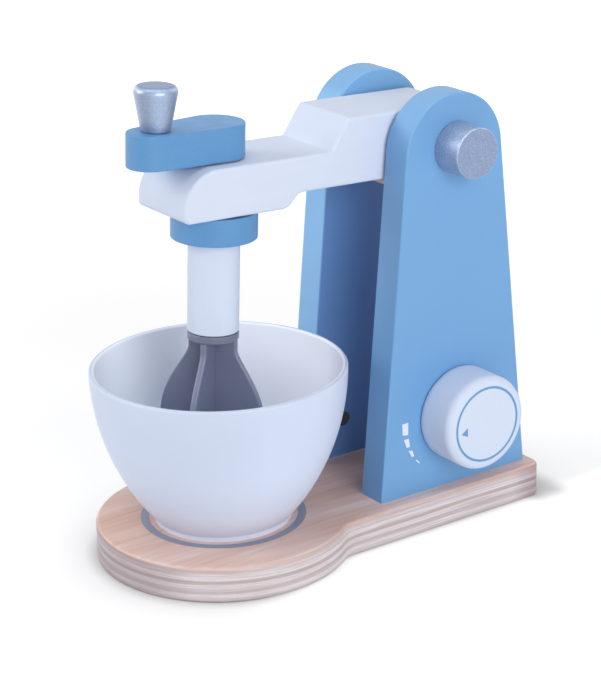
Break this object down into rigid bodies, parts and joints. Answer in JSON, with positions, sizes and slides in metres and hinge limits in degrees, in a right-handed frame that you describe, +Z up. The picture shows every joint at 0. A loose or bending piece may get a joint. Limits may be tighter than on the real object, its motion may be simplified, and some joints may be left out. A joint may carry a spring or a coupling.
{
  "type": "toy kitchen mixer",
  "caption": "Wooden toy stand mixer: plywood base, two side panels, a tilting arm with a hand-cranked whisk, a loose round bowl and a turning dial.",
  "frame": {"origin": "on the floor, in the middle of the base's length and width", "axes": "+Z up, -Y towards the bowl end, +X towards the side with the dial"},
  "size_m": [0.104, 0.1886, 0.1988],
  "materials": {
    "plywood": "clear-lacquered plywood with a banded edge",
    "blue_paint": "satin blue paint on wood",
    "white_paint": "satin white paint on wood",
    "silver_paint": "fine-grained silver paint on wood",
    "grey_paint": "matt grey paint on wood",
    "bowl_white": "smooth satin white",
    "steel": "zinc-plated steel",
    "bare_wood": "bare beech",
    "dark_wood": "dark brown wood"
  },
  "bodies": {
    "stand": {"base_plate": "plywood", "left_side_panel": "blue_paint", "right_side_panel": "blue_paint", "panel_screws": "steel", "panel_dowels": "bare_wood", "arm_stop_dowel": "bare_wood", "left_panel_plug": "dark_wood"},
    "arm": {"arm": "white_paint", "arm_axle": "bare_wood", "left_axle_knob": "silver_paint", "right_axle_knob": "silver_paint", "left_axle_washer": "steel", "right_axle_washer": "steel"},
    "spindle": {"crank": "blue_paint", "crank_washer": "steel", "collar_washer": "steel", "spindle_dowel": "bare_wood", "spindle_collar": "blue_paint", "spindle_shaft": "white_paint", "whisk": "grey_paint"},
    "crank_knob": {"crank_knob": "silver_paint", "crank_knob_screw": "steel"},
    "dial": {"dial": "white_paint", "dial_washer": "steel", "dial_screw": "steel"},
    "bowl": {"bowl": "bowl_white"}
  },
  "joints": [
    {"name": "arm_tilt", "type": "hinge", "parent": "stand", "child": "arm", "pos_m": [0, 0.05215, 0.16], "axis": [-1, 0, 0], "range_deg": [0, 80]},
    {"name": "spindle_spin", "type": "hinge", "parent": "arm", "child": "spindle", "pos_m": [0, -0.04063, 0.1647], "axis": [0, 0.0506, 0.9987], "continuous": true},
    {"name": "crank_knob_spin", "type": "hinge", "parent": "spindle", "child": "crank_knob", "pos_m": [0.00187, -0.06798, 0.18091], "axis": [0, 0.0506, 0.9987], "continuous": true},
    {"name": "dial_turn", "type": "hinge", "parent": "stand", "child": "dial", "pos_m": [0.0428, 0.05395, 0.0464], "axis": [1, 0, 0], "continuous": true},
    {"name": "bowl_lift", "type": "slide", "parent": "stand", "child": "bowl", "axis": [0, 0, 1], "range_m": [0, 0.02]}
  ]
}
